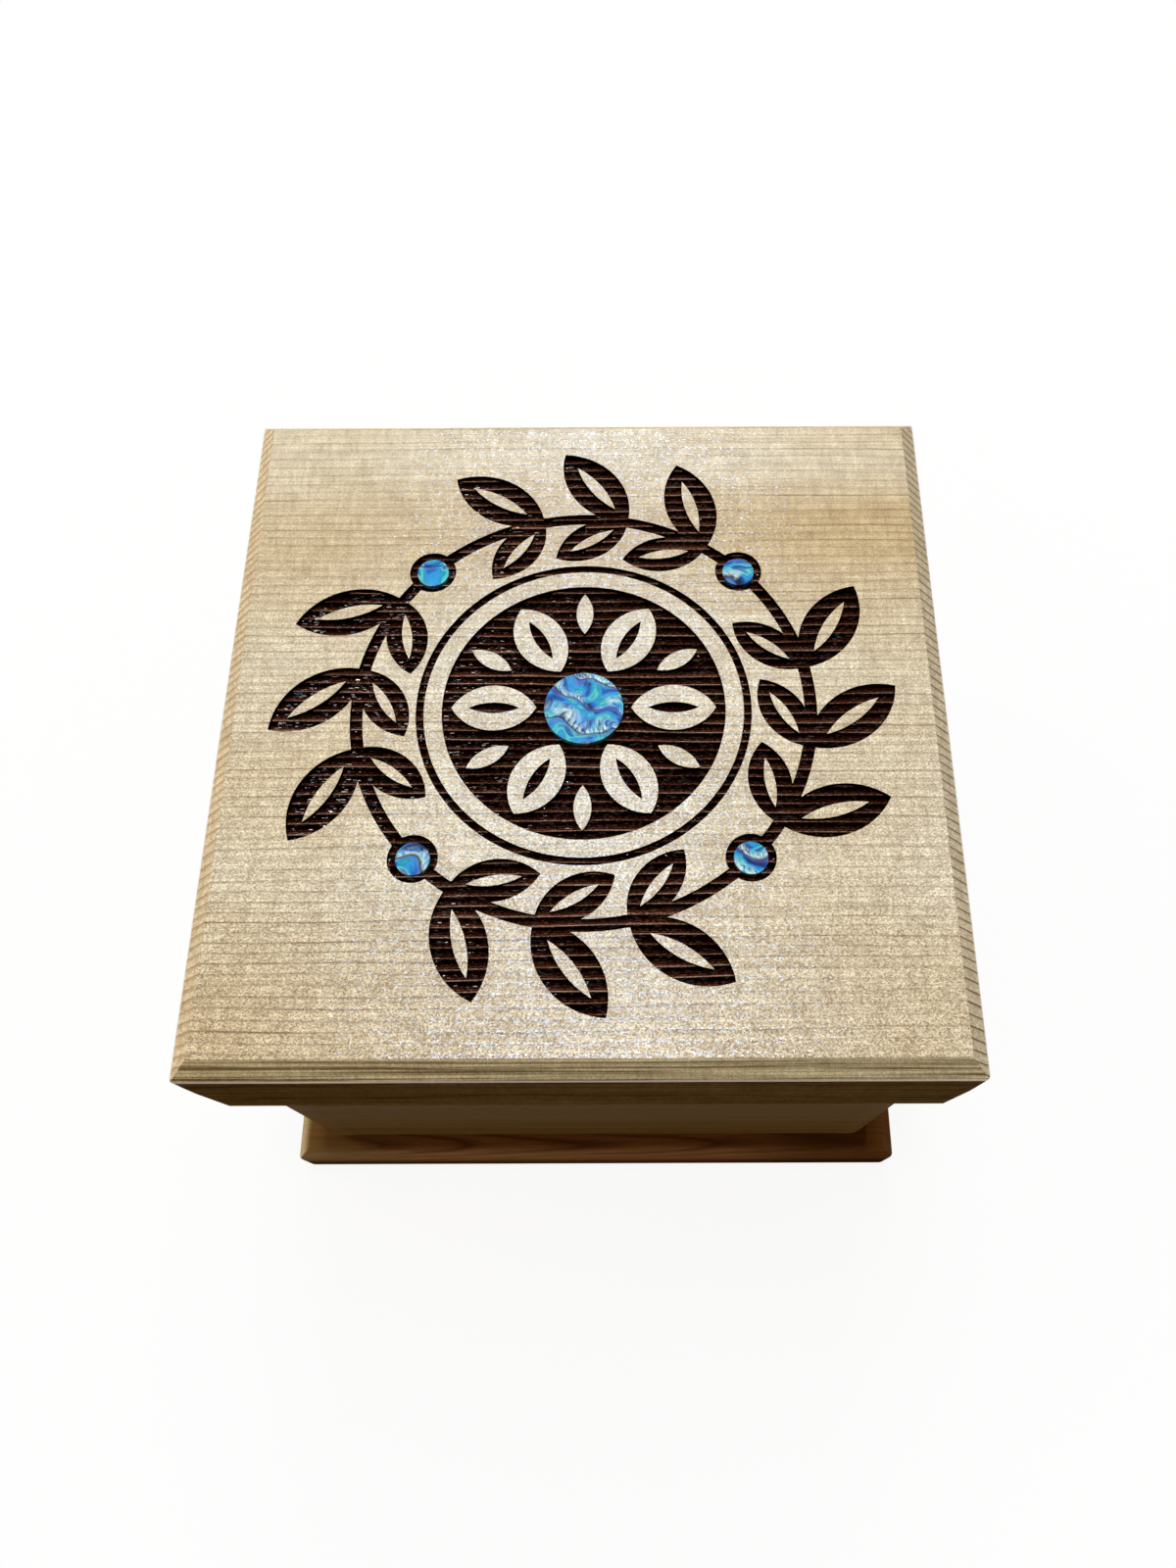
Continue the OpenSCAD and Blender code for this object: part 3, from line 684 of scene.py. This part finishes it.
# Matt pale paint that keeps the box's shadow near it and turns to plain white further off
floor_paint, tree, mm = new_finish("studio_floor")
seen = seen_directly(tree)
far = add(tree, "VectorMath", {0: mm}, out="Value", operation="LENGTH")
fade = add(tree, "MapRange", {0: far, 1: FLOOR_FADE[0], 2: FLOOR_FADE[1], 3: 0.9, 4: 1.0})
shade = add(tree, "Mix", {0: seen, 6: FLOOR_BOUNCE, 7: FLOOR_PALE}, out=2, data_type="RGBA")
dull = add(tree, "BsdfDiffuse", {"Color": shade})
glow = add(tree, "Emission", {"Color": WHITE, "Strength": 1.0})
lit = add(tree, "Math", {0: fade, 1: seen}, operation="MULTIPLY")
add(tree, "OutputMaterial", {"Surface": add(tree, "MixShader", {0: lit, 1: dull, 2: glow})})

# Rings of points round a middle point, joined by squares, with triangles inside the first ring
angle, radius = np.meshgrid(2 * np.pi * np.arange(FLOOR_POINTS) / FLOOR_POINTS, np.array(FLOOR_RINGS))
points = np.stack([radius * np.cos(angle), radius * np.sin(angle), 0 * radius], -1).reshape(-1, 3)
index = np.arange(radius.size).reshape(radius.shape)
after = np.roll(index, -1, 1)
squares = np.stack([index[:-1], index[1:], after[1:], after[:-1]], -1).reshape(-1, 4)
inside = np.stack([np.full(FLOOR_POINTS, radius.size), index[0], after[0]], -1)
studio_floor = mesh_piece("studio_floor", np.vstack([points, np.zeros((1, 3))]),
                          squares.tolist() + inside.tolist(), floor_paint)

# The room is white where it is seen, and its ceiling shows darker in the lacquer
world = bpy.data.worlds.new("studio")
studio.world = world
world.use_nodes = True
tree = world.node_tree
tree.nodes.clear()
up = add(tree, "SeparateXYZ", {0: add(tree, "TexCoord", out="Generated")}, out=2)
ceiling = add(tree, "MapRange", {0: up, 1: 0.3, 2: 0.6, 3: 1.0, 4: 0.3})
above = add(tree, "Math", {0: add(tree, "LightPath", out="Is Camera Ray"), 1: ceiling}, operation="MAXIMUM")
sky = add(tree, "Mix", {0: seen_directly(tree), 6: ROOM_BOUNCE, 7: above}, out=2, data_type="RGBA")
add(tree, "OutputWorld", {"Surface": add(tree, "Background", {"Color": sky, "Strength": 1.0})})


def lamp(name, place, target, width, length, power, colour):
    """Flat oblong lamp at a place in metres that faces a target, its length as near to +Y as that allows."""
    light = bpy.data.lights.new(name, "AREA")
    light.shape = "RECTANGLE"
    light.size = width
    light.size_y = length
    light.energy = power
    light.color = linear(colour)[:3]
    piece = bpy.data.objects.new(name, light)
    away = np.array(place) - np.array(target)
    back = away / np.linalg.norm(away)
    right = np.cross([0.0, 1.0, 0.0], back)
    right = right / np.linalg.norm(right)
    turn = np.eye(4)
    turn[:3, 0] = right
    turn[:3, 1] = np.cross(back, right)
    turn[:3, 2] = back
    turn[:3, 3] = place
    piece.matrix_world = Matrix(turn.tolist())
    studio.collection.objects.link(piece)


lamp("overhead", (0.0, -0.04, 1.2), (0.0, -0.04, 0.1), width=0.2, length=0.07, power=5.5, colour="#fff1e4")
lamp("behind", (0.05, 1.3, 0.9), (0.0, 0.0, 0.1), width=0.5, length=0.3, power=12.6, colour="#fff1e4")
lamp("left", (-1.0, 0.3, 0.3), (0.0, 0.0, 0.08), width=0.5, length=0.3, power=4.1, colour="#fff4d9")
lamp("window", (-0.045, 0.6, 1.1), (-0.045, 0.6, 0.0), width=0.24, length=1.5, power=5.0, colour="#acd4ff")

# Camera
# Held over the front edge and tipped well down, as a phone is held over a small box.
# Its place is in metres, and its turn is yaw to the right, pitch down and roll.
CAMERA_PLACE = (0.00831, -0.09651, 0.2828)
CAMERA_TURN = np.radians([-0.15, 67.32, 0.36])
LENS_MM = 26.83
SENSOR_MM = 36.0
LENS_SHIFT = (-0.02675, 0.01656)

yaw, pitch, roll = CAMERA_TURN
forward = np.array([np.sin(yaw) * np.cos(pitch), np.cos(yaw) * np.cos(pitch), -np.sin(pitch)])
level = np.array([np.cos(yaw), -np.sin(yaw), 0.0])
down = np.cross(forward, level)
turn = np.eye(4)
turn[:3, 0] = np.cos(roll) * level + np.sin(roll) * down
turn[:3, 1] = np.sin(roll) * level - np.cos(roll) * down
turn[:3, 2] = -forward
turn[:3, 3] = CAMERA_PLACE
lens = bpy.data.cameras.new("camera")
lens.lens = LENS_MM
lens.sensor_width = SENSOR_MM
lens.shift_x = LENS_SHIFT[0]
lens.shift_y = LENS_SHIFT[1]
lens.clip_start = 0.01
camera = bpy.data.objects.new("camera", lens)
camera.matrix_world = Matrix(turn.tolist())
studio.collection.objects.link(camera)
studio.camera = camera
